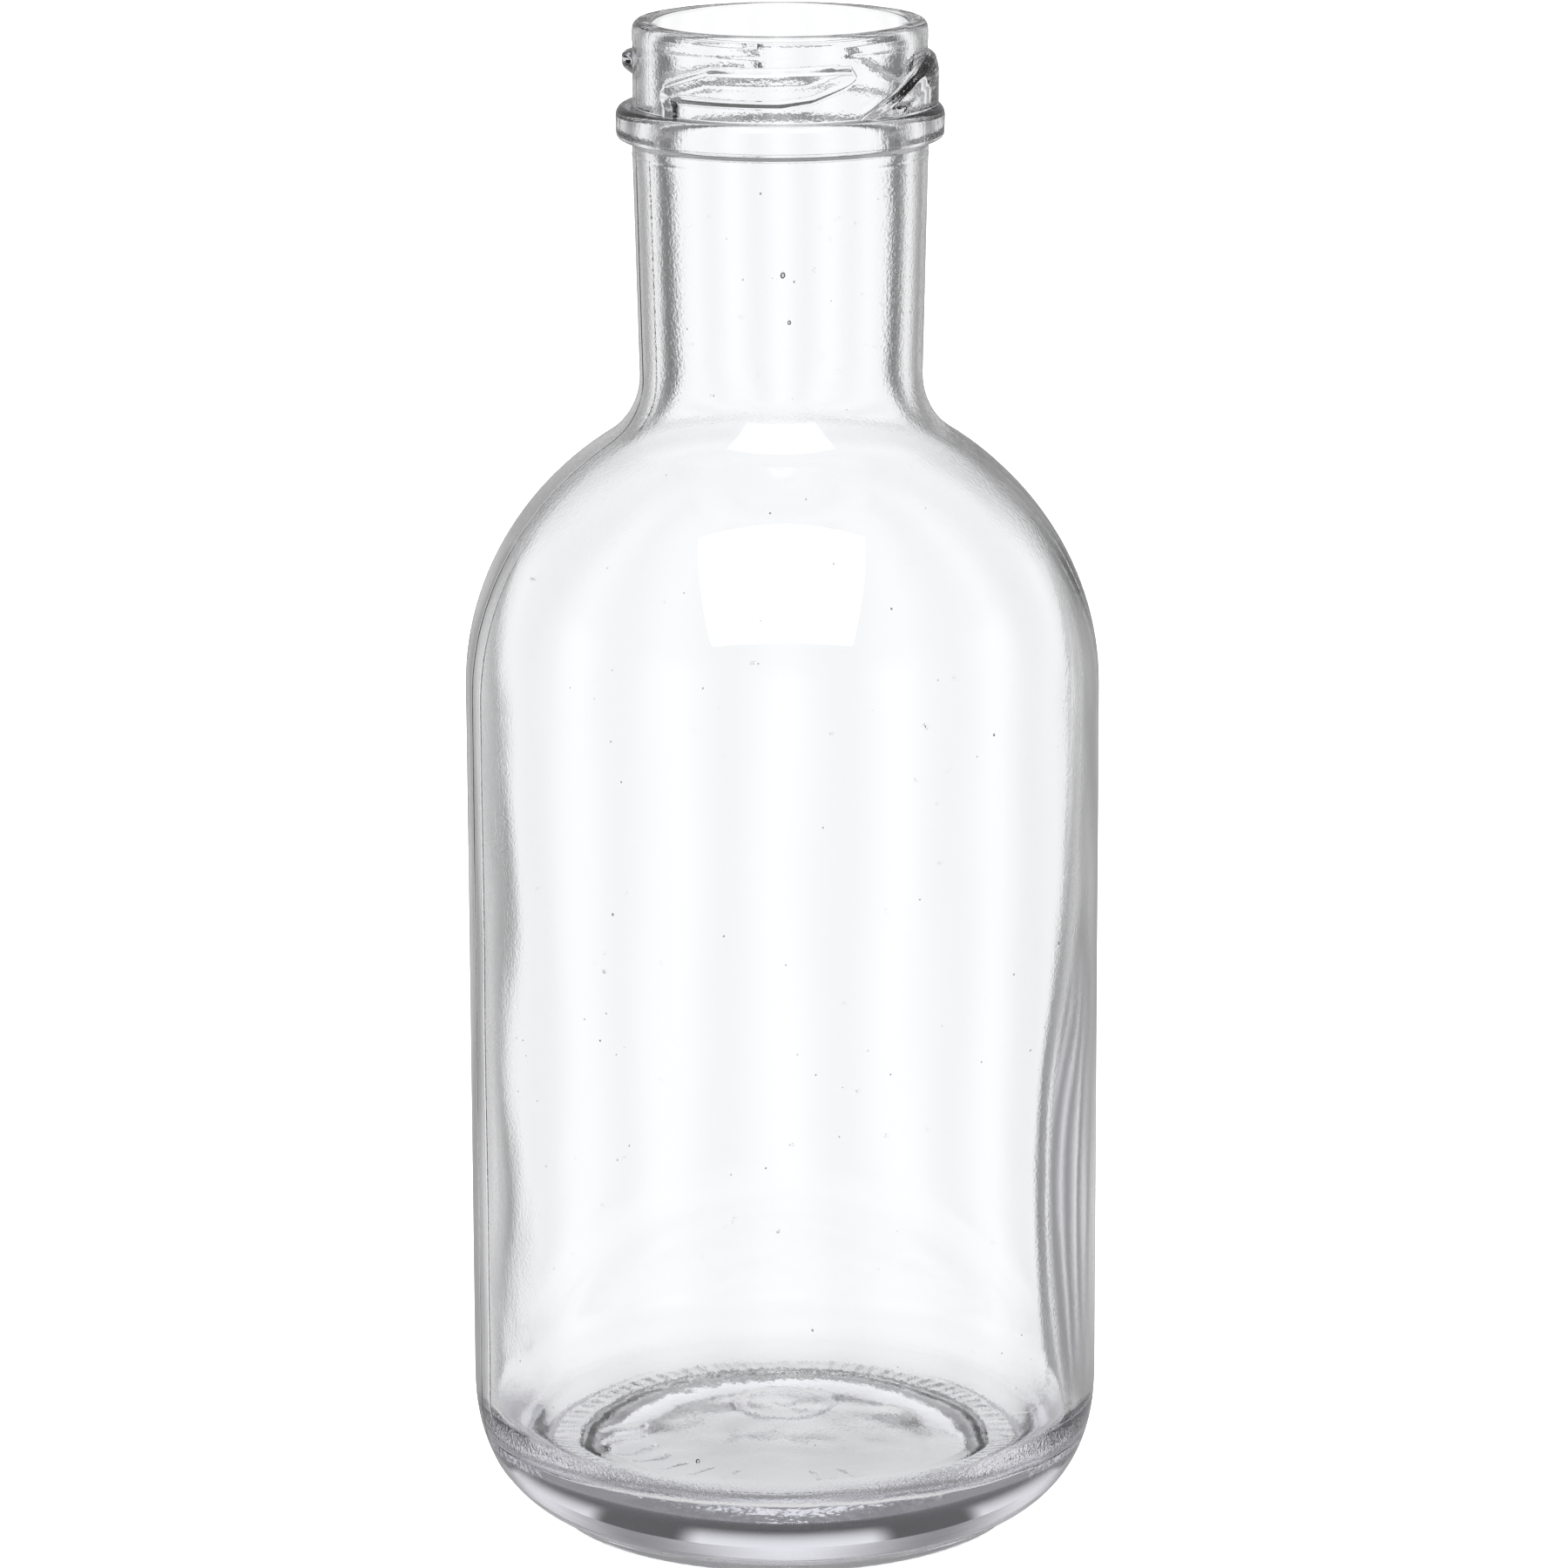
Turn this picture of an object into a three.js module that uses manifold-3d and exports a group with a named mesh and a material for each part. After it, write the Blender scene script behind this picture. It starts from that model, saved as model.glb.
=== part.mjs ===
// A round-shouldered glass milk bottle with a three-lug mouth for a twist-off cap.
// Millimetres, +Z up the bottle's axis, origin at the centre of the ring it stands on.
// The front is -Y. Angles round the bottle are in degrees from the front towards +X.

import * as THREE from 'three';
import { mergeVertices } from 'three/addons/utils/BufferGeometryUtils.js';
import Module from 'manifold-3d';

// Body
const height = 182.5;
const bodyRadius = 38;
const bodyWall = 2.1;

// How finely curves are cut into flats
const aroundSteps = 60;
const domeSteps = 3;
const heelSteps = 7;
const insideHeelSteps = 6;
const shoulderSteps = 9;
const insideShoulderSteps = 7;
const filletSteps = 4;
const insideFilletSteps = 3;
const roundSteps = 3;
const lugSteps = 20;
const lugRows = 3;

// Foot: the ring it stands on, the push-up inside the ring, and the heel round it
const ringInnerRadius = 25;
const ringOuterRadius = 28.2;
const pushUpCentre = 4.7;
const pushUpEdge = 0.6;
const pushUpFlatness = 5;
const ringChamfer = 0.9;
const heelWidth = 16;
const heelHeight = 17.5;
const heelFullness = 0.842;
const heelFromDegrees = 21.1;

// Inside of the foot
const floorCentre = 11.6;
const floorEdge = 10.4;
const floorRadius = 31.2;
const insideHeelTop = 16;

// Shoulder: part of an ellipse, turned into the neck by a hollow fillet
const shoulderStart = 102.8;
const shoulderReach = 39.3;
const shoulderRise = 36.4;
const shoulderTurnDegrees = 55.5;
const shoulderWall = 2.0;

// Neck: it opens slightly upwards
const neckFoot = 141;
const neckFootRadius = 16.86;
const neckFlare = 0.0252;
const neckWall = 2.5;

// Bead under the cap
const beadRadius = 19.45;
const beadUnder = 168.4;
const beadLowerEdge = 169;
const beadUpperEdge = 171.2;
const beadTop = 172.5;
const beadLean = 0.15;

// Mouth: a straight wall that carries the lugs, and a lip rounded both ways
const mouthRadius = 17.42;
const boreRadius = 15.05;
const boreDepth = 12;
const sealOuterRadius = 16.6;
const sealInnerRadius = 15.8;
const lipOuterDrop = 1;
const lipInnerDrop = 0.6;

// Lugs: ridges that a cap's claws run under, each with a stop leg at its lower end
const lugRadius = 18.7;
const lugPitchDegrees = 120;
const lugUnder = 174.6;
const lugTop = 178.5;
const legTop = 175.9;
const legFoot = 171.9;
const tipUnder = 177.1;
const tipTop = 177.9;
const lugStartDegrees = -51;
const legEndDegrees = -44;
const legBlendDegrees = -42.5;
const fullHeightDegrees = -28;
const taperStartDegrees = 0;
const shoulderOfTipDegrees = 22;
const lugEndDegrees = 30;
const rampFoot = 173.1;
const rampStartDegrees = -88;
const rampEndDegrees = -43;
const fillEndDegrees = -30;
const fillBlendDegrees = -28.5;
const lugEdgeShare = 0.3;
const lugTipShare = 0.35;
const lugRoot = 1.2;

const glassColour = 0xe9ecef;

const wasm = await Module();
wasm.setup();

const radians = THREE.MathUtils.degToRad;
const mix = THREE.MathUtils.lerp;

// Points of a curve given by a function of 0..1.
function curvePoints(steps, place) {
  const points = [];
  for (let i = 0; i <= steps; i++) {
    points.push(place(i / steps));
  }
  return points;
}

function neckRadiusAt(z) {
  return neckFootRadius + neckFlare * (z - neckFoot);
}

// The shoulder's ellipse, moved inwards by the wall for the inside.
function shoulderPoint(degrees, wall) {
  const angle = radians(degrees);
  return new THREE.Vector2(
    bodyRadius - shoulderReach + (shoulderReach - wall) * Math.cos(angle),
    shoulderStart + (shoulderRise - wall) * Math.sin(angle),
  );
}

// The hollow fillet leaves the ellipse along its normal and ends flush with the neck.
function neckFillet(wall, tubeRadius, steps) {
  const angle = radians(shoulderTurnDegrees);
  const start = shoulderPoint(shoulderTurnDegrees, wall);
  const normal = new THREE.Vector2(
    Math.cos(angle) / (shoulderReach - wall),
    Math.sin(angle) / (shoulderRise - wall),
  ).normalize();
  const radius = (start.x - tubeRadius) / (1 - normal.x);
  const centre = start.clone().addScaledVector(normal, radius);
  const from = Math.atan2(normal.y, normal.x);
  return curvePoints(steps, (share) => {
    const turn = mix(from, 0, share);
    return new THREE.Vector2(
      centre.x - radius * Math.cos(turn),
      centre.y - radius * Math.sin(turn),
    );
  });
}

function underside() {
  const dome = curvePoints(domeSteps, (share) => new THREE.Vector2(
    share * (ringInnerRadius - ringChamfer),
    mix(pushUpCentre, pushUpEdge, share ** pushUpFlatness),
  ));
  return [
    ...dome,
    new THREE.Vector2(ringInnerRadius, 0),
    new THREE.Vector2(ringOuterRadius, 0),
  ];
}

function heel() {
  return curvePoints(heelSteps, (share) => {
    const angle = radians(mix(heelFromDegrees, 90, share));
    return new THREE.Vector2(
      bodyRadius - heelWidth + heelWidth * Math.sin(angle) ** heelFullness,
      heelHeight - heelHeight * Math.max(Math.cos(angle), 0) ** heelFullness,
    );
  });
}

function shoulder(wall, steps) {
  return curvePoints(steps, (share) => shoulderPoint(share * shoulderTurnDegrees, wall));
}

function bead() {
  const crest = beadTop - beadUpperEdge;
  const crown = curvePoints(roundSteps, (share) => new THREE.Vector2(
    beadRadius - crest + crest * Math.cos(share * Math.PI / 2),
    beadUpperEdge + crest * Math.sin(share * Math.PI / 2),
  ));
  return [
    new THREE.Vector2(neckRadiusAt(beadUnder), beadUnder),
    new THREE.Vector2(beadRadius - beadLean, beadLowerEdge),
    ...crown,
    new THREE.Vector2(mouthRadius, beadTop),
  ];
}

function lip() {
  const outerReach = mouthRadius - sealOuterRadius;
  const innerReach = sealInnerRadius - boreRadius;
  const outer = curvePoints(roundSteps, (share) => new THREE.Vector2(
    sealOuterRadius + outerReach * Math.cos(share * Math.PI / 2),
    height - lipOuterDrop + lipOuterDrop * Math.sin(share * Math.PI / 2),
  ));
  const inner = curvePoints(roundSteps, (share) => new THREE.Vector2(
    sealInnerRadius - innerReach * Math.sin(share * Math.PI / 2),
    height - lipInnerDrop + lipInnerDrop * Math.cos(share * Math.PI / 2),
  ));
  return [...outer, ...inner];
}

// The inside, from the bore down to the floor.
function inside() {
  const tubeRadius = neckFootRadius - neckWall;
  const tubeTopRadius = neckRadiusAt(height - boreDepth) - neckWall;
  const wallRadius = bodyRadius - bodyWall;
  const curve = [
    ...shoulder(shoulderWall, insideShoulderSteps),
    ...neckFillet(shoulderWall, tubeRadius, insideFilletSteps).slice(1),
  ].reverse();
  const heelReach = wallRadius - floorRadius;
  const heelRise = insideHeelTop - floorEdge;
  const heelCurve = curvePoints(insideHeelSteps, (share) => {
    const angle = share * Math.PI / 2;
    return new THREE.Vector2(
      floorRadius + heelReach * Math.cos(angle),
      insideHeelTop - heelRise * Math.sin(angle),
    );
  });
  return [
    new THREE.Vector2(tubeTopRadius, height - boreDepth),
    ...curve,
    ...heelCurve,
    new THREE.Vector2(0, floorCentre),
  ];
}

function bottleShell() {
  const profile = [
    ...underside(),
    ...heel(),
    ...shoulder(0, shoulderSteps),
    ...neckFillet(0, neckFootRadius, filletSteps).slice(1),
    ...bead(),
    ...lip(),
    ...inside(),
  ];
  const geometry = new THREE.LatheGeometry(profile, aroundSteps);
  geometry.rotateX(Math.PI / 2);
  return geometry;
}

// Height of an edge at an angle, from a list of [degrees, height] corners.
function edgeHeight(corners, degrees) {
  for (let i = 1; i < corners.length; i++) {
    const [toDegrees, toHeight] = corners[i];
    const [fromDegrees, fromHeight] = corners[i - 1];
    if (degrees <= toDegrees) {
      const share = (degrees - fromDegrees) / (toDegrees - fromDegrees);
      return mix(fromHeight, toHeight, Math.max(share, 0));
    }
  }
  return corners[corners.length - 1][1];
}

// The stop-leg lug: its foot stands on the bead, and its far end tapers to a tip.
const plainLug = {
  from: lugStartDegrees,
  under: [
    [lugStartDegrees, legFoot],
    [legEndDegrees, legFoot],
    [legBlendDegrees, lugUnder],
    [taperStartDegrees, lugUnder],
    [lugEndDegrees, tipUnder],
  ],
  top: [
    [lugStartDegrees, legTop],
    [fullHeightDegrees, lugTop],
    [shoulderOfTipDegrees, lugTop],
    [lugEndDegrees, tipTop],
  ],
};

// The lug with the lead-in ramp: it climbs off the bead and is solid below.
const rampLug = {
  from: rampStartDegrees,
  under: [
    [rampStartDegrees, legFoot],
    [fillEndDegrees, legFoot],
    [fillBlendDegrees, lugUnder],
    [taperStartDegrees, lugUnder],
    [lugEndDegrees, tipUnder],
  ],
  top: [
    [rampStartDegrees, rampFoot],
    [rampEndDegrees, lugTop],
    [shoulderOfTipDegrees, lugTop],
    [lugEndDegrees, tipTop],
  ],
};

// A block bent round the mouth between its under and top edges.
function lugGeometry(shape, turnDegrees) {
  const geometry = new THREE.BoxGeometry(1, 1, 1, lugSteps, lugRows, 1);
  const position = geometry.attributes.position;
  for (let i = 0; i < position.count; i++) {
    const along = position.getX(i) + 0.5;
    const up = position.getY(i) + 0.5;
    const isOuter = position.getZ(i) > 0;
    const degrees = mix(shape.from, lugEndDegrees, along);
    const isTip = along > 1 - 0.5 / lugSteps;
    const isEdge = up < 0.5 / lugRows || up > 1 - 0.5 / lugRows;
    const share = (isEdge ? lugEdgeShare : 1) * (isTip ? lugTipShare : 1);
    const outer = mix(mouthRadius, lugRadius, share);
    const radius = isOuter ? outer : mouthRadius - lugRoot;
    const turn = radians(degrees + turnDegrees);
    const z = mix(edgeHeight(shape.under, degrees), edgeHeight(shape.top, degrees), up);
    position.setXYZ(i, radius * Math.sin(turn), -radius * Math.cos(turn), z);
  }
  return geometry;
}

// A closed solid for joining, with shared corners merged and flat slivers left out.
function toSolid(geometry) {
  const bare = geometry.clone();
  bare.deleteAttribute('normal');
  bare.deleteAttribute('uv');
  const merged = mergeVertices(bare);
  const corners = merged.index.array;
  const triVerts = [];
  for (let i = 0; i < corners.length; i += 3) {
    const triangle = [corners[i], corners[i + 1], corners[i + 2]];
    if (new Set(triangle).size === 3) {
      triVerts.push(...triangle);
    }
  }
  return new wasm.Manifold(new wasm.Mesh({
    numProp: 3,
    vertProperties: merged.attributes.position.array,
    triVerts: new Uint32Array(triVerts),
  }));
}

function toGeometry(solid) {
  const mesh = solid.getMesh();
  const geometry = new THREE.BufferGeometry();
  geometry.setAttribute('position', new THREE.BufferAttribute(mesh.vertProperties, mesh.numProp));
  geometry.setIndex(new THREE.BufferAttribute(mesh.triVerts, 1));
  geometry.computeVertexNormals();
  return geometry;
}

function bottle() {
  const lugs = [
    lugGeometry(plainLug, 0),
    lugGeometry(rampLug, lugPitchDegrees),
    lugGeometry(plainLug, -lugPitchDegrees),
  ];
  let solid = toSolid(bottleShell());
  for (const lug of lugs) {
    solid = solid.add(toSolid(lug));
  }
  const glass = new THREE.MeshStandardMaterial({
    color: glassColour,
    roughness: 0.02,
    metalness: 0,
    transparent: true,
    opacity: 0.35,
  });
  const mesh = new THREE.Mesh(toGeometry(solid), glass);
  mesh.name = 'bottle';
  return mesh;
}

const group = new THREE.Group();
group.add(bottle());

export default group;
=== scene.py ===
import math
import random

import bpy
import numpy as np
from mathutils import Euler, Matrix, Vector, noise


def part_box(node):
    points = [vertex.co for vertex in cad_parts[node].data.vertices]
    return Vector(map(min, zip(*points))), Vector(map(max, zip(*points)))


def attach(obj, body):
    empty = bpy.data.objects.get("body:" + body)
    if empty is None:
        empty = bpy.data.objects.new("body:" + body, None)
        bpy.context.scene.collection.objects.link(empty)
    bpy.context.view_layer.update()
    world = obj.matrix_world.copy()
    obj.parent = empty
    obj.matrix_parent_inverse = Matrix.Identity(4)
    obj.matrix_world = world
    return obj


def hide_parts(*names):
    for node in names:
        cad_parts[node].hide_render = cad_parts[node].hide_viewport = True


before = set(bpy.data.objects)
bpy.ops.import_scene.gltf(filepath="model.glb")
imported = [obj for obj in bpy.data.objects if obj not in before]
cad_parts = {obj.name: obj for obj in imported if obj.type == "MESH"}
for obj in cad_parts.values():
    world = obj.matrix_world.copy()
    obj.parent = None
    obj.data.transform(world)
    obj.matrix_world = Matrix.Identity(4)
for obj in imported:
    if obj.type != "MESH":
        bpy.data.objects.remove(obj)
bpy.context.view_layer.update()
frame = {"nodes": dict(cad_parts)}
print("frame loaded:", ", ".join(frame["nodes"]))

# Lengths are in millimetres until a mesh is made, except the floor and the lights, which
# are in metres. Angles round the bottle are in degrees from the front (-Y) towards +X.
mm = 0.001
rng = random.Random(38)

glassLow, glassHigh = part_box("bottle")
tall = glassHigh[2] / mm
bodyRadius = glassHigh[0] / mm

foot = {
    "ringInner": 25.0,
    "ringOuter": 28.2,
    "ringChamfer": 0.9,
    "pushUpCentre": 4.7,
    "pushUpEdge": 0.6,
    "pushUpFlatness": 5,
    "heelWidth": 16.0,
    "heelHeight": 17.5,
    "heelFullness": 0.842,
    "heelFrom": 21.1,
    "floorCentre": 11.6,
    "floorEdge": 10.4,
    "floorRadius": 31.2,
    "insideHeelTop": 16.0,
    "knurls": 88,
    "knurlDepth": 0.12,
}

body = {
    "wall": 2.1,
    "shoulderStart": 102.8,
    "shoulderReach": 39.3,
    "shoulderRise": 36.4,
    "shoulderTurn": 55.5,
    "shoulderWall": 2.0,
    "neckFoot": 141.0,
    "neckFootRadius": 16.86,
    "neckFlare": 0.0252,
    "neckWall": 2.5,
}

mouth = {
    "beadRadius": 19.45,
    "beadUnder": 168.3,
    "beadTop": 172.5,
    "beadCrown": 1.3,
    "beadCrownReach": 0.95,
    "beadLean": 0.12,
    "beadHollow": 0.45,
    "beadShelfInset": 0.55,
    "beadShelfRise": 0.35,
    "beadTurn": (0.62, 0.65),
    "ringJoint": 166.7,
    "jointBand": 0.45,
    "jointClear": 0.6,
    "wallRadius": 17.42,
    "boreRadius": 15.05,
    "boreFoot": 163.5,
    "boreFootRadius": 14.98,
    "boreStep": (3.5, 2.5),
    "sealOuter": 16.6,
    "sealInner": 15.8,
    "lipOuterDrop": 1.0,
    "lipInnerDrop": 0.6,
    "lipStep": 0.05,
    "lipStepDown": 2.4,
}

# A lug's two edges on the unrolled mouth, as (degrees, height)
lugs = {
    "proud": 1.3,
    "legProud": 0.42,
    "fillet": 0.2,
    "upperFlank": 1.7,
    "lowerFlank": 0.75,
    "legFlank": 0.35,
    "quick": 0.36,
    "quickShare": 0.66,
    "tipFlank": 0.5,
    "tipFrom": 6,
    "tipEnd": 27,
    "pitch": 120,
    "ends": (-43.4, 29.5),
    "legEdge": (-41, -39),
    "legTop": (173.4, 175.4),
    "plainUnder": [(-51, 175.7), (-51, 170.6), (-43.6, 170.6), (-43.0, 174.5), (0, 174.4), (12, 175.0),
                   (25.5, 176.6), (28.6, 177.2), (29.6, 177.9)],
    "plainTop": [(-51, 175.7), (-48.5, 176.5), (-28, 178.5), (20, 178.8), (28, 178.6), (29.6, 177.9)],
    "rampUnder": [(-87, 172.6), (-87, 170.6), (-30.5, 170.6), (-29.5, 174.5), (0, 174.4), (12, 175.0),
                  (25.5, 176.6), (28.6, 177.2), (29.6, 177.9)],
    "rampTop": [(-87, 172.6), (-60, 176.5), (-41, 178.5), (20, 178.8), (28, 178.6), (29.6, 177.9)],
}

seams = {
    "at": (-76, 104),
    "height": 0.055,
    "mouthHeight": 0.015,
    "width": 0.17,
    "jointHeight": 0.06,
    "jointWidth": 0.14,
    "fadeOut": (164, 167),
}

# The blown inside is never true: slow swings of the wall, then smaller ripples
unevenness = {
    "offCentre": 0.16,
    "offCentreAt": -95,
    "slow": (0.30, 30.0),
    "medium": (0.10, 11.0),
    "small": (0.018, 4.2),
    "outside": (0.03, 24.0),
    "floorDapple": (0.09, 3.6),
    "thickSideAt": 78,
    "thickSideHeight": 44,
    "thickSide": 1.3,
    "thickSideWide": 17,
    "thickSideTall": 24,
    "calmer": (128, 142),
    "calmerBy": 0.75,
    "low": (9, 22),
    "lowCalm": 0.6,
}


def smooth(low, high, x):
    t = np.clip((x - low) / (high - low), 0, 1)
    return t * t * (3 - 2 * t)


def along(count, place):
    return [place(i / count) for i in range(count + 1)]


def straight(start, end, count):
    return along(count, lambda s: (start[0] + (end[0] - start[0]) * s, start[1] + (end[1] - start[1]) * s))


def neckRadius(z):
    return body["neckFootRadius"] + body["neckFlare"] * (z - body["neckFoot"])


def shoulderPoint(degrees, wall):
    a = math.radians(degrees)
    return (
        bodyRadius - body["shoulderReach"] + (body["shoulderReach"] - wall) * math.cos(a),
        body["shoulderStart"] + (body["shoulderRise"] - wall) * math.sin(a),
    )


def shoulderToNeck(wall, tubeRadius, shoulderCount, filletCount):
    # The hollow fillet leaves the shoulder's ellipse along its normal and ends flush with the neck.
    points = along(shoulderCount, lambda s: shoulderPoint(s * body["shoulderTurn"], wall))
    a = math.radians(body["shoulderTurn"])
    normal = Vector((
        math.cos(a) / (body["shoulderReach"] - wall),
        math.sin(a) / (body["shoulderRise"] - wall),
    )).normalized()
    radius = (points[-1][0] - tubeRadius) / (1 - normal.x)
    centre = Vector(points[-1]) + normal * radius
    turn = math.atan2(normal.y, normal.x)
    fillet = along(filletCount, lambda s: (
        centre.x - radius * math.cos(turn * (1 - s)),
        centre.y - radius * math.sin(turn * (1 - s)),
    ))
    return points + fillet[1:]


def ringAngles(count, fineSpots=(), reach=1.3, step=0.22):
    # Even columns round the bottle, with closer ones where a seam or a lug's end needs them.
    angles = [a for a in np.linspace(-180, 180, count, endpoint=False)
              if all(abs(a - spot) > reach for spot in fineSpots)]
    for spot in fineSpots:
        angles += list(np.arange(-reach, reach + step / 2, step) + spot)
    return np.array(sorted(angles))


def turnedInto(degrees):
    return (degrees + 180) % 360 - 180


lugTurns = [0, lugs["pitch"], -lugs["pitch"]]
lugEnds = [turnedInto(end + turn) for turn in lugTurns for end in lugs["ends"]]
bodyColumns = ringAngles(214, seams["at"])
mouthColumns = ringAngles(372, [*seams["at"], *lugEnds])
insideColumns = ringAngles(182)
knurlColumns = ringAngles(foot["knurls"] * 5)


def rowsOf(points, columns, zone):
    return [(r, z, columns, zone) for r, z in points]


def undersideRows():
    edge = foot["ringInner"] - foot["ringChamfer"]
    count = 48
    rows = []
    for i in range(1, count + 1):
        share = i / count
        r = share * edge
        fall = foot["pushUpCentre"] - foot["pushUpEdge"]
        z = foot["pushUpCentre"] - fall * share ** foot["pushUpFlatness"]
        columns = 320 if r > 12 else 160 if r > 6 else 80 if r > 3 else 40
        rows.append((r, z, ringAngles(columns), "marks"))
    chamfer = along(4, lambda s: (
        edge + foot["ringChamfer"] * s,
        foot["pushUpEdge"] * (1 - math.sin(s * math.pi / 2)),
    ))
    ring = straight((foot["ringInner"], 0), (foot["ringOuter"], 0), 7)
    rows += rowsOf(chamfer[1:-1], knurlColumns, "ring")
    rows += rowsOf(ring, knurlColumns, "ring")
    return rows


def heelPoint(degrees):
    a = math.radians(degrees)
    return (
        bodyRadius - foot["heelWidth"] + foot["heelWidth"] * math.sin(a) ** foot["heelFullness"],
        foot["heelHeight"] * (1 - max(math.cos(a), 0) ** foot["heelFullness"]),
    )


def outsideRows():
    first = heelPoint(foot["heelFrom"])
    turnIn = along(3, lambda s: (
        foot["ringOuter"] + (first[0] - foot["ringOuter"]) * math.sin(s * math.pi / 2) ** 1.2,
        first[1] * s ** 1.5,
    ))
    heel = along(20, lambda s: heelPoint(foot["heelFrom"] + (90 - foot["heelFrom"]) * s))
    wall = straight((bodyRadius, foot["heelHeight"]), (bodyRadius, body["shoulderStart"]), 14)
    top = shoulderToNeck(0, body["neckFootRadius"], 26, 12)
    joint = mouth["ringJoint"]
    neckEnd, low, high = joint - mouth["jointClear"], joint - mouth["jointBand"], joint + mouth["jointBand"]
    neck = straight(top[-1], (neckRadius(neckEnd), neckEnd), 8)
    fine = straight((neckRadius(low), low), (neckRadius(high), high), 6)
    return rowsOf(turnIn[1:-1] + heel + wall[1:] + top[1:] + neck[1:] + fine, bodyColumns, "out")


def beadRows():
    under = mouth["beadUnder"]
    neck = neckRadius(under)
    outer = mouth["beadRadius"]
    soft = mouth["beadHollow"]
    hollow = along(4, lambda s: (
        neck + soft * (1 - math.cos(s * math.pi / 2)),
        under - soft + soft * math.sin(s * math.pi / 2),
    ))
    shelfEnd = (outer - mouth["beadLean"] - mouth["beadShelfInset"], under + mouth["beadShelfRise"])
    shelf = straight(hollow[-1], shelfEnd, 3)
    reach, rise = mouth["beadTurn"]
    turnUp = along(4, lambda s: (
        shelfEnd[0] + reach * math.sin(s * math.pi / 2),
        shelfEnd[1] + rise * (1 - math.cos(s * math.pi / 2)),
    ))
    crown = along(8, lambda s: (
        outer - mouth["beadCrownReach"] * (1 - math.cos(s * math.pi / 2)),
        mouth["beadTop"] - mouth["beadCrown"] * (1 - math.sin(s * math.pi / 2)),
    ))
    side = straight(turnUp[-1], crown[0], 5)
    return rowsOf(hollow + shelf[1:] + turnUp[1:] + side[1:] + crown[1:], bodyColumns, "out")


def mouthRows():
    top = mouth["beadTop"]
    crownEdge = mouth["beadRadius"] - mouth["beadCrownReach"]
    ledge = straight((crownEdge, top), (mouth["wallRadius"], top + 0.04), 6)
    lipFoot = tall - mouth["lipOuterDrop"]
    wall = straight((mouth["wallRadius"], top + 0.16), (mouth["wallRadius"], lipFoot - 0.15), 38)
    return rowsOf(ledge[1:], mouthColumns, "ledge") + rowsOf(wall, mouthColumns, "mouth")


def lipRows():
    outerReach = mouth["wallRadius"] - mouth["sealOuter"]
    innerReach = mouth["sealInner"] - mouth["boreRadius"]
    outer = along(7, lambda s: (
        mouth["sealOuter"] + outerReach * math.cos(s * math.pi / 2),
        tall - mouth["lipOuterDrop"] * (1 - math.sin(s * math.pi / 2)),
    ))
    land = straight(outer[-1], (mouth["sealInner"], tall), 3)
    inner = along(6, lambda s: (
        mouth["sealInner"] - innerReach * math.sin(s * math.pi / 2),
        tall - mouth["lipInnerDrop"] * (1 - math.cos(s * math.pi / 2)),
    ))
    return rowsOf(outer + land[1:] + inner[1:], bodyColumns, "lip")


def insideRows():
    tube = body["neckFootRadius"] - body["neckWall"]
    wall = bodyRadius - body["wall"]
    curve = shoulderToNeck(body["shoulderWall"], tube, 22, 9)[::-1]
    stepUp, stepDown = mouth["boreStep"]
    stepTop = mouth["boreFoot"] + stepUp
    narrow = mouth["boreFootRadius"]
    bore = straight((mouth["boreRadius"], tall - mouth["lipInnerDrop"] - 0.4), (narrow, stepTop), 10)
    tubeTop = neckRadius(mouth["boreFoot"] - stepDown) - body["neckWall"]
    step = along(6, lambda s: (
        narrow + (tubeTop - narrow) * (1 - math.cos(s * math.pi)) / 2,
        stepTop - (stepUp + stepDown) * s,
    ))
    neck = straight(step[-1], curve[0], 10)
    side = straight(curve[-1], (wall, foot["insideHeelTop"]), 26)
    reach, rise = wall - foot["floorRadius"], foot["insideHeelTop"] - foot["floorEdge"]
    heel = along(22, lambda s: (
        foot["floorRadius"] + reach * math.cos(s * math.pi / 2),
        foot["insideHeelTop"] - rise * math.sin(s * math.pi / 2),
    ))
    points = bore + step[1:] + neck[1:] + curve[1:] + side[1:] + heel[1:]
    rows = rowsOf(points, insideColumns, "in")
    count = 22
    for i in range(1, count):
        share = 1 - i / count
        r = share * foot["floorRadius"]
        z = foot["floorCentre"] + (foot["floorEdge"] - foot["floorCentre"]) * share ** 2
        columns = 190 if r > 12 else 95 if r > 6 else 48 if r > 3 else 24
        rows.append((r, z, ringAngles(columns), "in"))
    return rows


def pickNoise(points, size, shift):
    return np.array([noise.noise(Vector(p) / size + shift) for p in points])


def edgeDistance(angles, heights, edge):
    # Distance to one edge of a lug on the unrolled mouth.
    perDegree = math.radians(mouth["wallRadius"])
    x, y = angles * perDegree, heights
    nearest = np.full(len(x), 1e9)
    for (a0, y0), (a1, y1) in zip(edge, edge[1:]):
        x0, dx, dy = a0 * perDegree, (a1 - a0) * perDegree, y1 - y0
        t = np.clip(((x - x0) * dx + (y - y0) * dy) / (dx * dx + dy * dy), 0, 1)
        nearest = np.minimum(nearest, np.hypot(x - x0 - t * dx, y - y0 - t * dy))
    return nearest


def flankShare(distance, width):
    # A quick rise off the wall, then an even slope that ends in a faint crease at the crest.
    quick = smooth(-lugs["fillet"], lugs["quick"], distance)
    return lugs["quickShare"] * quick + (1 - lugs["quickShare"]) * np.clip(distance / width, 0, 1)


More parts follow.
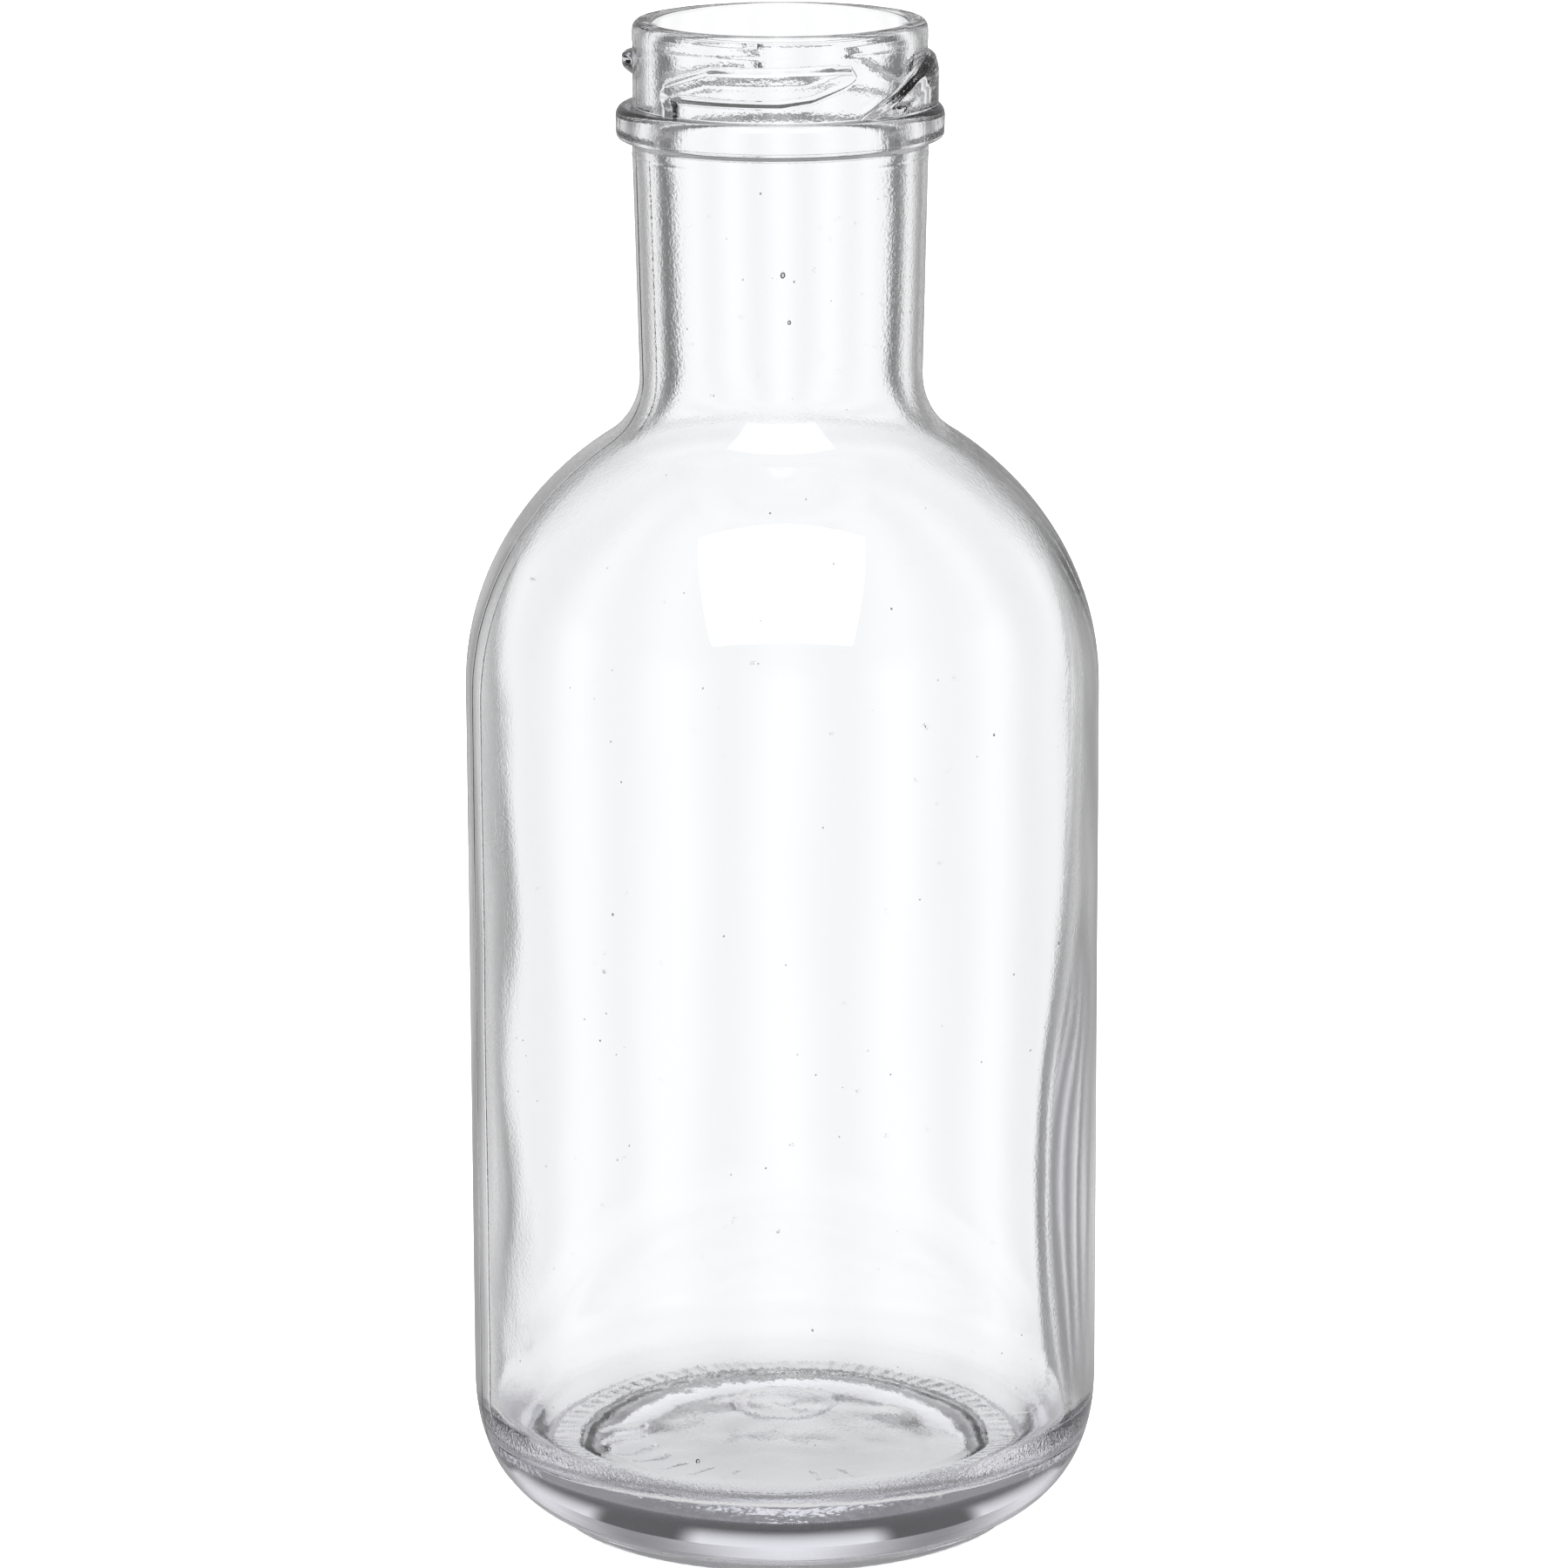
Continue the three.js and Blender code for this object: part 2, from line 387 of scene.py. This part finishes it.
def lugRise(angles, heights):
    # A long slope from the upper edge to the crest, and a short one up from the lower edge.
    rise = np.zeros(len(angles))
    for turn in lugTurns:
        kind = "ramp" if turn == lugs["pitch"] else "plain"
        under, top = lugs[kind + "Under"], lugs[kind + "Top"]
        local = turnedInto(angles - turn)
        floor = np.interp(local, [a for a, _ in under[1:]], [z for _, z in under[1:]])
        roof = np.interp(local, [a for a, _ in top], [z for _, z in top])
        inside = (local > under[0][0]) & (local < under[-1][0]) & (heights > floor) & (heights < roof)
        side = np.where(inside, 1, -1)
        fromTop = side * edgeDistance(local, heights, top)
        fromUnder = side * edgeDistance(local, heights, under)
        toTip = smooth(lugs["tipFrom"], lugs["tipEnd"], local)
        slope = lugs["upperFlank"] + (lugs["tipFlank"] - lugs["upperFlank"]) * toTip
        upper = flankShare(fromTop, slope)
        legEdge = smooth(*lugs["legEdge"], local)
        lower = flankShare(fromUnder, lugs["legFlank"] + (lugs["lowerFlank"] - lugs["legFlank"]) * legEdge)
        share = np.where(inside, np.minimum(upper, lower), np.where(fromTop > fromUnder, upper, lower))
        share += (np.sin(np.clip(share, 0, 1) * math.pi / 2) - share) * toTip
        if kind == "plain":
            share *= lugs["legProud"] + (1 - lugs["legProud"]) * smooth(*lugs["legTop"], heights)
        rise = np.maximum(rise, lugs["proud"] * share)
    return rise


def seamRise(angles, radius, height):
    rise = np.zeros(len(angles))
    for at in seams["at"]:
        away = np.radians(turnedInto(angles - at)) * radius
        rise += height * np.exp(-(away / seams["width"]) ** 2)
    return rise


baseMarks = {
    "depth": 0.45,
    "edge": 0.45,
    "ringAt": (-0.2, 7.5),
    "ringRadius": 5.5,
    "ringWidth": 1.1,
    "barsRadius": 19.5,
    "barsLong": 4.4,
    "barsWide": 1.4,
    "barsFront": [-92, -80, -68, -56, -44, -32, -20],
    "barsBack": [-172, -160, -148, -136],
    "blocksAt": (14, 24),
    "blockWide": 1.8,
    "dotRadius": 0.9,
    "clearOfRing": 1.2,
    "swell": (0.05, 5),
}


def markRise(x, y):
    # Plain mould marks: a ring, bars set round an arc, and two blocks.
    def raised(distance, halfWidth):
        return 1 - smooth(halfWidth - baseMarks["edge"] / 2, halfWidth + baseMarks["edge"] / 2, distance)

    cx, cy = baseMarks["ringAt"]
    fromRing = np.abs(np.hypot(x - cx, y - cy) - baseMarks["ringRadius"])
    rise = raised(fromRing, baseMarks["ringWidth"] / 2)
    rise = np.maximum(rise, raised(np.hypot(x - cx, y - cy), baseMarks["dotRadius"]))
    for angle in baseMarks["barsFront"] + baseMarks["barsBack"] + list(baseMarks["blocksAt"]):
        a = math.radians(angle)
        out = x * math.sin(a) - y * math.cos(a) - baseMarks["barsRadius"]
        across = x * math.cos(a) + y * math.sin(a)
        wide = baseMarks["barsWide"] * (baseMarks["blockWide"] if angle in baseMarks["blocksAt"] else 1)
        bar = raised(np.abs(out), baseMarks["barsLong"] / 2) * raised(np.abs(across), wide / 2)
        rise = np.maximum(rise, bar)
    return baseMarks["depth"] * rise


def glassVertices(rows):
    profile = np.array([(r, z) for r, z, _, _ in rows])
    tangent = np.gradient(profile, axis=0)
    tangent /= np.linalg.norm(tangent, axis=1, keepdims=True) + 1e-9
    normals = np.column_stack([tangent[:, 1], -tangent[:, 0]])
    vertices, loops, grains = [], [], []
    start = 0
    for (r, z, angles, zone), (nr, nz) in zip(rows, normals):
        a = np.radians(angles)
        radius = np.full(len(angles), float(r))
        height = np.full(len(angles), float(z))
        points = np.column_stack([r * np.sin(a), -r * np.cos(a), height])
        if zone == "marks":
            fade = smooth(0, 1, foot["ringInner"] - baseMarks["clearOfRing"] - radius)
            height -= markRise(points[:, 0], points[:, 1]) * fade
            amount, size = baseMarks["swell"]
            height += amount * pickNoise(points, size, Vector((7, 1, 3)))
        elif zone == "ring":
            middle = (foot["ringInner"] + foot["ringOuter"]) / 2
            half = (foot["ringOuter"] - foot["ringInner"]) / 2
            onRing = 1 - smooth(half * 0.75, half * 1.1, abs(r - middle))
            teeth = 0.5 + 0.5 * np.cos(a * foot["knurls"])
            height += foot["knurlDepth"] * teeth * onRing
        elif zone in ("out", "lip"):
            amount, size = unevenness["outside"]
            offset = amount * pickNoise(points, size, Vector((0, 0, 5)))
            if zone == "out":
                fade = 1 - smooth(*seams["fadeOut"], z)
                drop = seams["height"] - seams["mouthHeight"]
                offset += seamRise(angles, r, seams["mouthHeight"] + drop * fade)
                fromJoint = (z - mouth["ringJoint"]) / seams["jointWidth"]
                offset += seams["jointHeight"] * math.exp(-fromJoint ** 2)
            radius += offset * nr
            height += offset * nz
        elif zone == "ledge":
            crownEdge = mouth["beadRadius"] - mouth["beadCrownReach"]
            share = (crownEdge - r) / (crownEdge - mouth["wallRadius"])
            lugFoot = lugRise(angles, np.full(len(a), z + 0.1))
            reach = np.minimum(lugFoot, crownEdge - mouth["wallRadius"] - 0.06)
            radius += share * (reach + seamRise(angles, r, seams["mouthHeight"]))
        elif zone == "mouth":
            lipStep = mouth["lipStep"] * smooth(-0.15, 0.15, z - (tall - mouth["lipStepDown"]))
            radius += lugRise(angles, height) + seamRise(angles, r, seams["mouthHeight"]) + lipStep
        elif zone == "in":
            radius, height = unevenInside(points, angles, r, z, nr, nz)
        points = np.column_stack([radius * np.sin(a), -radius * np.cos(a), height])
        vertices.append(points)
        if zone == "marks":
            grains += list(skin["marks"] * markRise(points[:, 0], points[:, 1]) / baseMarks["depth"])
        else:
            grains += [grainAt(r, z) if zone == "in" else 0.0] * len(angles)
        loops.append((start, angles))
        start += len(angles)
    return np.vstack(vertices), loops, grains


# How coarse the skin is: nothing outside, a little on the inner wall, more in the band where
# the wall turns into the floor, and most on the marks under the base
skin = {
    "wall": 0.03,
    "bore": 0.10,
    "floor": 0.10,
    "heel": 0.4,
    "heelBand": (10.4, 11.0, 12.6, 15.0),
    "marks": 0.8,
}


def grainAt(r, z):
    if z > mouth["boreFoot"]:
        return skin["bore"]
    low, full, fading, gone = skin["heelBand"]
    if r < foot["floorRadius"]:
        return skin["floor"]
    heel = smooth(low, full, z) * (1 - smooth(fading, gone, z))
    return float(skin["wall"] + (skin["heel"] - skin["wall"]) * heel)


def unevenInside(points, angles, r, z, nr, nz):
    # How far the blown inside strays from true, settled by height: none in the pressed bore.
    freedom = 1 - unevenness["calmerBy"] * smooth(*unevenness["calmer"], z)
    freedom *= 1 - smooth(mouth["boreFoot"] - 3, mouth["boreFoot"] + 3, z)
    offset = np.zeros(len(angles))
    for key in ("slow", "medium", "small"):
        amount, size = unevenness[key]
        shift = Vector((size, 2 * size, 0.5))
        offset += amount * pickNoise(points * (1, 1, 0.55), size, shift)
    offset += unevenness["offCentre"] * np.cos(np.radians(angles - unevenness["offCentreAt"]))
    away = turnedInto(angles - unevenness["thickSideAt"]) / unevenness["thickSideWide"]
    level = (z - unevenness["thickSideHeight"]) / unevenness["thickSideTall"]
    offset += unevenness["thickSide"] * np.exp(-away ** 2 - level ** 2)
    low = 1 - smooth(*unevenness["low"], z)
    amount, size = unevenness["floorDapple"]
    dapple = low * amount * pickNoise(points, size, Vector((3, 8, 1)))
    offset = offset * (1 - unevenness["lowCalm"] * low) + dapple
    offset *= freedom
    centre = 1 if r > 3 else r / 3
    return r + offset * nr * centre, z + offset * nz


def joinLoops(faces, lower, upper):
    # Quads between rings with the same columns, else triangles zipped round the two.
    (a, anglesA), (b, anglesB) = lower, upper
    countA, countB = len(anglesA), len(anglesB)
    if countA == countB and np.allclose(anglesA, anglesB):
        for i in range(countA):
            j = (i + 1) % countA
            faces.append((a + i, a + j, b + j, b + i))
        return
    i = j = 0
    while i < countA or j < countB:
        nextA = anglesA[(i + 1) % countA] + 360 * ((i + 1) // countA)
        nextB = anglesB[(j + 1) % countB] + 360 * ((j + 1) // countB)
        if j >= countB or (i < countA and nextA <= nextB):
            faces.append((a + i % countA, a + (i + 1) % countA, b + j % countB))
            i += 1
        else:
            faces.append((a + i % countA, b + (j + 1) % countB, b + j % countB))
            j += 1


seeds = {
    "specks": 240,
    "speckRadius": (0.045, 0.105),
    "speckHeights": (18, 166),
    "stretch": (1.0, 1.5),
    "tilt": 0.4,
    "depthInWall": 0.45,
    # (degrees, height, radius) of the larger ones
    "bubbles": [
        (0.8, 154.7, 0.30), (3.4, 149.1, 0.21), (-8.0, 164.3, 0.12), (-16, 16.5, 0.26),
        (-32, 82.0, 0.14), (-35, 66.5, 0.12), (41, 102.5, 0.13), (-3, 128.0, 0.12),
        (22, 118.0, 0.12), (-30, 98.0, 0.10), (5, 33.0, 0.13), (60, 75, 0.15),
        (150, 90, 0.22), (-140, 60, 0.2), (110, 125, 0.16), (-120, 112, 0.18),
    ],
}


def wallMiddle(z):
    # Radius half-way through the wall at a height.
    if z > body["neckFoot"]:
        return neckRadius(z) - body["neckWall"] / 2
    if z > body["shoulderStart"]:
        tube = body["neckFootRadius"] - body["neckWall"] / 2
        points = shoulderToNeck(body["shoulderWall"] / 2, tube, 40, 12)
        return min(points, key=lambda p: abs(p[1] - z))[0]
    return bodyRadius - body["wall"] * seeds["depthInWall"]


def addSeed(vertices, faces, degrees, z, size):
    # A small cavity: an egg of air in the wall, its faces turned towards the air.
    stretch = rng.uniform(*seeds["stretch"])
    lean = seeds["tilt"]
    tilt = Euler((rng.uniform(-lean, lean), rng.uniform(-lean, lean), rng.uniform(0, 3))).to_matrix()
    a = math.radians(degrees)
    r = wallMiddle(z)
    centre = Vector((r * math.sin(a), -r * math.cos(a), z))
    around, levels = (14, 9) if size > 0.1 else (7, 4)
    start = len(vertices)
    vertices.append(tuple(centre + tilt @ Vector((0, 0, size * stretch))))
    for i in range(1, levels):
        lat = math.pi * i / levels
        for j in range(around):
            lon = 2 * math.pi * j / around
            ring = math.sin(lat)
            p = Vector((ring * math.cos(lon), ring * math.sin(lon), math.cos(lat) * stretch))
            vertices.append(tuple(centre + tilt @ (p * size)))
    vertices.append(tuple(centre - tilt @ Vector((0, 0, size * stretch))))
    end = len(vertices) - 1
    for j in range(around):
        k = (j + 1) % around
        faces.append((start, start + 1 + k, start + 1 + j))
        for i in range(levels - 2):
            upper, lower = start + 1 + i * around, start + 1 + (i + 1) * around
            faces.append((upper + j, upper + k, lower + k, lower + j))
        last = start + 1 + (levels - 2) * around
        faces.append((end, last + j, last + k))


def makeBottle():
    rows = undersideRows() + outsideRows() + beadRows() + mouthRows() + lipRows() + insideRows()
    grid, loops, grains = glassVertices(rows)
    faces = []
    for lower, upper in zip(loops, loops[1:]):
        joinLoops(faces, lower, upper)
    vertices = [tuple(p) for p in grid]
    vertices.append((0, 0, foot["pushUpCentre"]))
    bottomCount = len(loops[0][1])
    for i in range(bottomCount):
        faces.append((len(vertices) - 1, (i + 1) % bottomCount, i))
    vertices.append((0, 0, float(grid[loops[-1][0]:, 2].mean())))
    topStart, topCount = loops[-1][0], len(loops[-1][1])
    for i in range(topCount):
        faces.append((len(vertices) - 1, topStart + i, topStart + (i + 1) % topCount))
    grains += [0.0, skin["floor"]]
    for degrees, z, size in seeds["bubbles"]:
        addSeed(vertices, faces, degrees, z, size)
    for _ in range(seeds["specks"]):
        degrees, z = rng.uniform(-180, 180), rng.uniform(*seeds["speckHeights"])
        addSeed(vertices, faces, degrees, z, rng.uniform(*seeds["speckRadius"]))
    grains += [0.0] * (len(vertices) - len(grains))
    mesh = bpy.data.meshes.new("bottleGlass")
    mesh.from_pydata([tuple(c * mm for c in v) for v in vertices], [], faces)
    mesh.shade_smooth()
    coarse = mesh.attributes.new("skinGrain", "FLOAT", "POINT")
    coarse.data.foreach_set("value", grains)
    mesh.validate()
    piece = bpy.data.objects.new("bottleGlass", mesh)
    bpy.context.collection.objects.link(piece)
    triangles = sum(len(f) - 2 for f in faces)
    print("bottle glass:", len(vertices), "points,", triangles, "triangles")
    return piece


glassLook = {
    "colour": (0.992, 0.996, 1.0, 1),
    "ior": 1.52,
    "tint": (0.80, 0.79, 0.865, 1),
    "tintDensity": 14.0,
    "roughness": 0.004,
    "scuffedRing": 0.32,
    "ripple": 0.000007,
    "drawMarks": 1.0,
    "grain": 23.0,
}


def newGroup(name, inputs, outputs):
    group = bpy.data.node_groups.new(name, "ShaderNodeTree")
    for socket, value in inputs:
        made = group.interface.new_socket(socket, in_out="INPUT", socket_type="NodeSocketFloat")
        made.default_value = value
    for socket in outputs:
        group.interface.new_socket(socket, in_out="OUTPUT", socket_type="NodeSocketFloat")
    nodes = group.nodes
    return group, nodes.new("NodeGroupInput"), nodes.new("NodeGroupOutput")


def addNode(tree, kind, settings=None, **values):
    node = tree.nodes.new(kind)
    for key, value in (settings or {}).items():
        setattr(node, key, value)
    for key, value in values.items():
        node.inputs[key.replace("_", " ")].default_value = value
    return node


def mathNode(tree, operation, first, second=0.0, third=None):
    node = tree.nodes.new("ShaderNodeMath")
    node.operation = operation
    for i, value in enumerate((first, second, third)):
        if value is None:
            continue
        if isinstance(value, (int, float)):
            node.inputs[i].default_value = value
        else:
            tree.links.new(value, node.inputs[i])
    return node.outputs[0]


def mapRange(tree, value, low, high, toLow, toHigh, kind="SMOOTHSTEP"):
    node = tree.nodes.new("ShaderNodeMapRange")
    node.interpolation_type = kind
    tree.links.new(value, node.inputs["Value"])
    for socket, number in (("From Min", low), ("From Max", high), ("To Min", toLow), ("To Max", toHigh)):
        node.inputs[socket].default_value = number
    return node.outputs["Result"]


def mixValues(tree, factor, first, second):
    node = tree.nodes.new("ShaderNodeMix")
    for socket, value in (("Factor", factor), ("A", first), ("B", second)):
        if isinstance(value, (int, float)):
            node.inputs[socket].default_value = value
        else:
            tree.links.new(value, node.inputs[socket])
    return node.outputs["Result"]


def rippleGroup():
    # Fire-polished skin: long soft draw marks up the bottle, and a finer grain inside.
    group, into, out = newGroup(
        "firePolish", [("Draw Marks", 1.0), ("Grain", 1.0), ("Coarseness", 0.0)], ["Height"])
    where = addNode(group, "ShaderNodeTexCoord")
    stretched = addNode(group, "ShaderNodeMapping")
    stretched.inputs["Scale"].default_value = (1, 1, 0.35)
    group.links.new(where.outputs["Object"], stretched.inputs["Vector"])
    marks = addNode(group, "ShaderNodeTexNoise", Scale=190.0, Detail=3.0, Roughness=0.45)
    grain = addNode(group, "ShaderNodeTexNoise", Scale=2400.0, Detail=2.0, Roughness=0.5)
    group.links.new(stretched.outputs["Vector"], marks.inputs["Vector"])
    group.links.new(where.outputs["Object"], grain.inputs["Vector"])
    long = mathNode(group, "MULTIPLY", marks.outputs["Fac"], into.outputs["Draw Marks"])
    fine = mathNode(group, "MULTIPLY", grain.outputs["Fac"], into.outputs["Grain"])
    fine = mathNode(group, "MULTIPLY", fine, into.outputs["Coarseness"])
    group.links.new(mathNode(group, "ADD", long, fine), out.inputs["Height"])
    return group


def scuffGroup():
    # Rubbed where it stands, and a trace of handling haze elsewhere.
    group, into, out = newGroup(
        "scuffs", [("Clean", 0.004), ("Rubbed", 0.3), ("Ring Height", 0.0005)], ["Roughness"])
    where = addNode(group, "ShaderNodeTexCoord")
    parts = addNode(group, "ShaderNodeSeparateXYZ")
    group.links.new(where.outputs["Object"], parts.inputs[0])
    near = mathNode(group, "DIVIDE", parts.outputs["Z"], into.outputs["Ring Height"])
    ring = mapRange(group, near, 0.2, 1.0, 1.0, 0.0)
    patches = addNode(group, "ShaderNodeTexNoise", Scale=420.0, Detail=4.0)
    group.links.new(where.outputs["Object"], patches.inputs["Vector"])
    worn = mapRange(group, patches.outputs["Fac"], 0.35, 0.65, 0.3, 1.0)
    rubbed = mathNode(group, "MULTIPLY", mathNode(group, "MULTIPLY", ring, worn), into.outputs["Rubbed"])
    haze = addNode(group, "ShaderNodeTexNoise", Scale=38.0, Detail=3.0)
    group.links.new(where.outputs["Object"], haze.inputs["Vector"])
    hazed = mapRange(group, haze.outputs["Fac"], 0.5, 0.8, 1.0, 4.0)
    clean = mathNode(group, "MULTIPLY", into.outputs["Clean"], hazed)
    group.links.new(mathNode(group, "ADD", clean, rubbed), out.inputs["Roughness"])
    return group


def glassMaterial():
    material = bpy.data.materials.new("clearGlass")
    material.use_nodes = True
    tree = material.node_tree
    shader = tree.nodes["Principled BSDF"]
    shader.inputs["Base Color"].default_value = glassLook["colour"]
    shader.inputs["Metallic"].default_value = 0.0
    shader.inputs["IOR"].default_value = glassLook["ior"]
    shader.inputs["Transmission Weight"].default_value = 1.0
    polish = tree.nodes.new("ShaderNodeGroup")
    polish.node_tree = rippleGroup()
    polish.inputs["Draw Marks"].default_value = glassLook["drawMarks"]
    polish.inputs["Grain"].default_value = glassLook["grain"]
    coarse = addNode(tree, "ShaderNodeAttribute", {"attribute_name": "skinGrain"})
    tree.links.new(coarse.outputs["Fac"], polish.inputs["Coarseness"])
    bump = addNode(tree, "ShaderNodeBump", Strength=1.0, Distance=glassLook["ripple"])
    tree.links.new(polish.outputs["Height"], bump.inputs["Height"])
    tree.links.new(bump.outputs["Normal"], shader.inputs["Normal"])
    scuffs = tree.nodes.new("ShaderNodeGroup")
    scuffs.node_tree = scuffGroup()
    scuffs.inputs["Clean"].default_value = glassLook["roughness"]
    scuffs.inputs["Rubbed"].default_value = glassLook["scuffedRing"]
    tree.links.new(scuffs.outputs["Roughness"], shader.inputs["Roughness"])
    tint = addNode(tree, "ShaderNodeVolumeAbsorption",
                   Color=glassLook["tint"], Density=glassLook["tintDensity"])
    tree.links.new(tint.outputs["Volume"], tree.nodes["Material Output"].inputs["Volume"])
    return material


bottleGlass = makeBottle()
bottleGlass.data.materials.append(glassMaterial())
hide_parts("bottle")
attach(bottleGlass, "root")
print("glass laid over its CAD node")

studio = {
    "floorSize": 14.0,
    "floorColour": (0.86, 0.865, 0.875, 1),
    "floorGlow": 0.8,
    "white": 1.06,
    # The shade values set the glow of the disc that paints the shadowed floor under the bottle
    "shade": 0.78,
    "shadeFrom": 20.0,
    "shadeReach": 44.0,
    "shadeBelow": 0.05,
    "dark": 0.10,
    "bands": 8,
    "bandEdges": (0.16, 0.46),
    "softBase": 0.30,
    "softSwing": 0.70,
    "ceiling": 0.10,
    "softCeiling": 0.30,
    "ceilingFrom": (0.24, 0.42),
    "mirrored": 0.38,
    "onFloor": 0.9,
    "boxTurn": 0,
    "boxLift": 54,
    "boxAway": 1.6,
    "boxSize": (1.6, 1.42),
    "boxWatts": 16.0,
    "topWatts": 38.0,
    "topSize": (2.4, 2.4),
    "topAway": 1.9,
}


def makeFloor():
    half = studio["floorSize"] / 2
    mesh = bpy.data.meshes.new("floor")
    corners = [(-half, -half, 0), (half, -half, 0), (half, half, 0), (-half, half, 0)]
    mesh.from_pydata(corners, [], [(0, 1, 2, 3)])
    floor = bpy.data.objects.new("floor", mesh)
    bpy.context.collection.objects.link(floor)
    material = bpy.data.materials.new("paleFloor")
    material.use_nodes = True
    shader = material.node_tree.nodes["Principled BSDF"]
    shader.inputs["Base Color"].default_value = studio["floorColour"]
    shader.inputs["Roughness"].default_value = 0.9
    shader.inputs["Specular IOR Level"].default_value = 0.1
    shader.inputs["Emission Color"].default_value = (1, 1, 1, 1)
    shader.inputs["Emission Strength"].default_value = studio["floorGlow"]
    mesh.materials.append(material)
    # The glass neither shows nor mirrors the floor: it meets the surround there instead.
    floor.visible_transmission = False
    floor.visible_glossy = False
    return floor


def makeShade():
    # Painted shade: a pale glowing disc just under the floor, seen only through the glass, stands in for
    # the floor shadowed under the bottle and greys the base.
    mesh = bpy.data.meshes.new("shade")
    steps = 64
    turns = [2 * math.pi * i / steps for i in range(steps)]
    reach = studio["shadeReach"] * mm
    below = -studio["shadeBelow"] * mm
    rim = [(reach * math.cos(a), reach * math.sin(a), below) for a in turns]
    mesh.from_pydata(rim, [], [range(steps)])
    shade = bpy.data.objects.new("shade", mesh)
    bpy.context.collection.objects.link(shade)
    material = bpy.data.materials.new("shadedFloor")
    material.use_nodes = True
    tree = material.node_tree
    tree.nodes.remove(tree.nodes["Principled BSDF"])
    glow = tree.nodes.new("ShaderNodeEmission")
    where = addNode(tree, "ShaderNodeTexCoord")
    away = addNode(tree, "ShaderNodeVectorMath", {"operation": "LENGTH"})
    tree.links.new(where.outputs["Object"], away.inputs[0])
    # Painted shadow: the glow is dimmest near the bottle and rises to white at the disc's rim
    level = mapRange(tree, away.outputs["Value"], studio["shadeFrom"] * mm, reach,
                     studio["shade"], studio["white"])
    tree.links.new(level, glow.inputs["Strength"])
    tree.links.new(glow.outputs["Emission"], tree.nodes["Material Output"].inputs["Surface"])
    mesh.materials.append(material)
    shade.visible_camera = False
    shade.visible_diffuse = False
    shade.visible_glossy = False
    shade.visible_shadow = False


def makeWorld():
    # A white surround with soft dark flags at even turns, and a dim ceiling: the dark
    # bands draw the glass's edges, as black cards do in a studio. Light that has bounced
    # inside the glass meets softer flags, the outer skin mirrors one plain value, and the
    # floor is lit evenly.
    world = bpy.data.worlds.new("studio")
    bpy.context.scene.world = world
    world.use_nodes = True
    tree = world.node_tree
    background = tree.nodes["Background"]
    where = addNode(tree, "ShaderNodeTexCoord")
    parts = addNode(tree, "ShaderNodeSeparateXYZ")
    tree.links.new(where.outputs["Generated"], parts.inputs[0])
    turn = mathNode(tree, "ARCTAN2", parts.outputs["X"], parts.outputs["Y"])
    wave = mathNode(tree, "COSINE", mathNode(tree, "MULTIPLY", turn, studio["bands"]))
    wave = mathNode(tree, "MULTIPLY_ADD", wave, 0.5, 0.5)
    flags = mapRange(tree, wave, *studio["bandEdges"], studio["dark"], studio["white"])
    ceiling = mapRange(tree, parts.outputs["Z"], *studio["ceilingFrom"], 0.0, 1.0)
    soft = mathNode(tree, "MULTIPLY_ADD", wave, studio["softSwing"], studio["softBase"])
    path = addNode(tree, "ShaderNodeLightPath")
    bounced = mathNode(tree, "GREATER_THAN", path.outputs["Glossy Depth"], 0.5)
    walls = mixValues(tree, bounced, flags, soft)
    overhead = mapRange(tree, bounced, 0.0, 1.0, studio["ceiling"], studio["softCeiling"], "LINEAR")
    room = mixValues(tree, ceiling, walls, overhead)
    lit = mixValues(tree, path.outputs["Is Reflection Ray"], room, studio["mirrored"])
    lit = mixValues(tree, path.outputs["Is Diffuse Ray"], lit, studio["onFloor"])
    background.inputs["Color"].default_value = (1, 1, 1, 1)
    tree.links.new(lit, background.inputs["Strength"])


def addLight(name, size, watts, turn, lift, away, glossy):
    light = bpy.data.lights.new(name, "AREA")
    light.shape = "RECTANGLE"
    light.size, light.size_y = size
    light.energy = watts
    lamp = bpy.data.objects.new(name, light)
    bpy.context.collection.objects.link(lamp)
    a, e = math.radians(turn), math.radians(lift)
    towards = Vector((math.sin(a) * math.cos(e), -math.cos(a) * math.cos(e), math.sin(e)))
    target = Vector((0, 0, tall * mm / 2))
    lamp.location = target + towards * away
    lamp.rotation_euler = towards.to_track_quat("Z", "Y").to_euler()
    lamp.visible_camera = False
    lamp.visible_glossy = glossy
    lamp.visible_transmission = False
    return lamp


view = {
    "aim": 90.1,
    "lift": 13.2,
    "away": 880.0,
    "lens": 167.7,
    "roll": -0.21,
    "aside": 0.15,
}


def makeCamera():
    camera = bpy.data.cameras.new("camera")
    camera.lens = view["lens"]
    camera.sensor_width = 36
    camera.clip_start = 0.05
    camera.clip_end = 30
    holder = bpy.data.objects.new("camera", camera)
    bpy.context.collection.objects.link(holder)
    e = math.radians(view["lift"])
    back = Vector((0, -math.cos(e), math.sin(e)))
    aim = Vector((view["aside"] * mm, 0, view["aim"] * mm))
    spin = Matrix.Rotation(math.radians(view["roll"]), 3, back)
    holder.location = aim + back * view["away"] * mm
    holder.rotation_euler = (spin @ back.to_track_quat("Z", "Y").to_matrix()).to_euler()
    bpy.context.scene.camera = holder


makeFloor()
makeShade()
makeWorld()
addLight("frontBox", studio["boxSize"], studio["boxWatts"], studio["boxTurn"], studio["boxLift"],
         studio["boxAway"], True)
addLight("topBox", studio["topSize"], studio["topWatts"], 0, 90, studio["topAway"], False)
makeCamera()
print("floor, surround, lights and camera set")

scene = bpy.context.scene
scene.view_settings.view_transform = "Standard"
scene.cycles.max_bounces = 32
scene.cycles.transmission_bounces = 32
scene.cycles.glossy_bounces = 12
scene.cycles.transparent_max_bounces = 16
